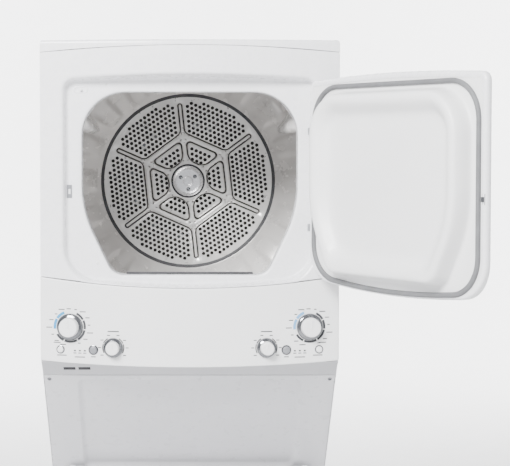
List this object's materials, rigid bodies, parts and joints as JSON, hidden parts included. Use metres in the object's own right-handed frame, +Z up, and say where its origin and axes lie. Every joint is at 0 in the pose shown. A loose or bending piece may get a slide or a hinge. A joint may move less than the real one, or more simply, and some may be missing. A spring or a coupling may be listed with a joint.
{
  "type": "stacked laundry centre",
  "caption": "White stacked laundry centre: a front-loading dryer with an open door over a top-loading washer, one shared control panel between them.",
  "frame": {"origin": "on the floor under the middle of the washer's cabinet", "axes": "+Z up, the front faces -Y, +X to the right seen from the front"},
  "size_m": [0.9229, 1.2253, 1.924],
  "materials": {
    "white_enamel": "gloss white enamel on steel",
    "white_plastic": "white moulded plastic",
    "grey_button": "satin silver-grey plastic",
    "galvanised_steel": "zinc-coated sheet",
    "bright_steel": "bright stainless sheet",
    "grey_enamel": "grey baked enamel",
    "grey_rubber": "grey moulded rubber",
    "dark_plastic": "dark moulded plastic",
    "basket_enamel": "speckled white enamel",
    "pale_plastic": "pale grey plastic",
    "cast_metal": "cast metal"
  },
  "bodies": {
    "root": {"dryer_sides": "white_enamel", "dryer_top": "white_enamel", "rear_panels": "galvanised_steel", "dryer_front": "white_enamel", "front_bulkhead": "white_enamel", "rear_bulkhead": "galvanised_steel", "drum_bearing": "cast_metal", "heater_housing": "galvanised_steel", "dryer_base_pan": "galvanised_steel", "blower_housing": "dark_plastic", "exhaust_duct": "galvanised_steel", "dryer_motor": "galvanised_steel", "dryer_belt": "grey_rubber", "hinge_brackets": "galvanised_steel", "door_catch": "bright_steel", "console_panel": "white_plastic", "access_panel": "white_enamel", "panel_screws": "bright_steel", "control_switches": "dark_plastic", "cord_gland": "grey_rubber", "washer_base": "galvanised_steel", "levelling_feet": "grey_rubber", "washer_cabinet": "white_enamel", "washer_deck": "white_enamel", "outer_tub": "pale_plastic", "suspension_struts": "galvanised_steel", "wash_gearcase": "cast_metal", "wash_motor": "galvanised_steel", "wash_belt": "grey_rubber", "pump_housing": "dark_plastic", "drain_hose": "grey_rubber", "inlet_valve": "dark_plastic"},
    "door": {"door_outer": "white_enamel", "door_inner": "white_plastic", "door_gasket": "grey_rubber", "door_strike": "bright_steel", "hinge_leaves": "galvanised_steel"},
    "drum": {"drum_shell": "grey_enamel", "drum_lifters": "grey_enamel", "drum_back": "bright_steel", "drum_hub": "bright_steel"},
    "blower": {"blower_wheel": "bright_steel"},
    "idler": {"idler_arm": "galvanised_steel"},
    "idler_roller": {"idler_wheel": "dark_plastic"},
    "filter": {"lint_filter": "dark_plastic"},
    "lid": {"washer_lid": "white_enamel"},
    "basket": {"wash_basket": "basket_enamel"},
    "agitator": {"agitator": "pale_plastic"},
    "pulley": {"wash_pulley": "cast_metal"},
    "wash_rotor": {"wash_motor_rotor": "bright_steel"},
    "impeller": {"pump_impeller": "dark_plastic"},
    "plunger": {"switch_plunger": "dark_plastic"},
    "wash_cycle": {"wash_cycle_knob": "white_plastic"},
    "wash_water": {"wash_water_knob": "white_plastic"},
    "dry_cycle": {"dry_cycle_knob": "white_plastic"},
    "dry_heat": {"dry_heat_knob": "white_plastic"},
    "wash_option": {"wash_option_button": "white_plastic"},
    "wash_start": {"wash_start_button": "grey_button"},
    "dry_option": {"dry_option_button": "white_plastic"},
    "dry_start": {"dry_start_button": "grey_button"}
  },
  "joints": [
    {"name": "door_swing", "type": "hinge", "parent": "root", "child": "door", "pos_m": [0.2836, -0.33093, 1.598], "axis": [0, 0, 1], "range_deg": [-122, 23]},
    {"name": "drum_spin", "type": "hinge", "parent": "root", "child": "drum", "pos_m": [0, 0, 1.59], "axis": [0, 1, 0], "continuous": true},
    {"name": "blower_spin", "type": "hinge", "parent": "root", "child": "blower", "pos_m": [0, 0, 1.15], "axis": [0, 1, 0], "continuous": true},
    {"name": "idler_swing", "type": "hinge", "parent": "root", "child": "idler", "pos_m": [0.11074, 0, 1.12071], "axis": [0, 1, 0], "range_deg": [0, 14], "stiffness_Nm_per_rad": 1.5, "springref_deg": -8},
    {"name": "idler_spin", "type": "hinge", "parent": "idler", "child": "idler_roller", "pos_m": [0.07059, 0, 1.17805], "axis": [0, 1, 0], "continuous": true},
    {"name": "filter_pull", "type": "slide", "parent": "root", "child": "filter", "axis": [0, 0, 1], "range_m": [0, 0.18]},
    {"name": "lid_swing", "type": "hinge", "parent": "root", "child": "lid", "pos_m": [0, -0.044, 0.88], "axis": [-1, 0, 0], "range_deg": [0, 47]},
    {"name": "basket_spin", "type": "hinge", "parent": "root", "child": "basket", "pos_m": [0, -0.075, 0], "axis": [0, 0, 1], "continuous": true},
    {"name": "agitator_turn", "type": "hinge", "parent": "basket", "child": "agitator", "pos_m": [0, -0.075, 0], "axis": [0, 0, 1], "range_deg": [-180, 180]},
    {"name": "pulley_spin", "type": "hinge", "parent": "root", "child": "pulley", "pos_m": [0, -0.075, 0], "axis": [0, 0, 1], "continuous": true},
    {"name": "rotor_spin", "type": "hinge", "parent": "root", "child": "wash_rotor", "pos_m": [0.192, -0.075, 0], "axis": [0, 0, 1], "continuous": true},
    {"name": "impeller_spin", "type": "hinge", "parent": "root", "child": "impeller", "pos_m": [-0.185, -0.075, 0], "axis": [0, 0, 1], "continuous": true},
    {"name": "plunger_press", "type": "slide", "parent": "root", "child": "plunger", "axis": [0, 1, 0], "range_m": [0, 0.0065], "stiffness_N_per_m": 60, "springref_m": -0.004},
    {"name": "wash_cycle_turn", "type": "hinge", "parent": "root", "child": "wash_cycle", "pos_m": [-0.273, -0.33272, 1.272], "axis": [-0.1622, -0.9868, 0], "continuous": true},
    {"name": "dry_cycle_turn", "type": "hinge", "parent": "root", "child": "dry_cycle", "pos_m": [0.273, -0.33272, 1.272], "axis": [0.1622, -0.9868, 0], "continuous": true},
    {"name": "wash_water_turn", "type": "hinge", "parent": "root", "child": "wash_water", "pos_m": [-0.174, -0.34598, 1.226], "axis": [-0.1034, -0.9946, 0], "range_deg": [-135, 135]},
    {"name": "dry_heat_turn", "type": "hinge", "parent": "root", "child": "dry_heat", "pos_m": [0.174, -0.34598, 1.226], "axis": [0.1034, -0.9946, 0], "range_deg": [-135, 135]},
    {"name": "wash_option_press", "type": "slide", "parent": "root", "child": "wash_option", "axis": [0.1752, 0.9845, 0], "range_m": [0, 0.0025], "stiffness_N_per_m": 400, "springref_m": -0.002},
    {"name": "wash_start_press", "type": "slide", "parent": "root", "child": "wash_start", "axis": [0.1304, 0.9915, 0], "range_m": [0, 0.0025], "stiffness_N_per_m": 400, "springref_m": -0.002},
    {"name": "dry_option_press", "type": "slide", "parent": "root", "child": "dry_option", "axis": [-0.1752, 0.9845, 0], "range_m": [0, 0.0025], "stiffness_N_per_m": 400, "springref_m": -0.002},
    {"name": "dry_start_press", "type": "slide", "parent": "root", "child": "dry_start", "axis": [-0.1304, 0.9915, 0], "range_m": [0, 0.0025], "stiffness_N_per_m": 400, "springref_m": -0.002}
  ],
  "couplings": [
    {"joint": "blower_spin", "follows": "drum_spin", "ratio": 24.615},
    {"joint": "idler_spin", "follows": "drum_spin", "ratio": -21.333},
    {"joint": "rotor_spin", "follows": "pulley_spin", "ratio": 3.2143}
  ]
}
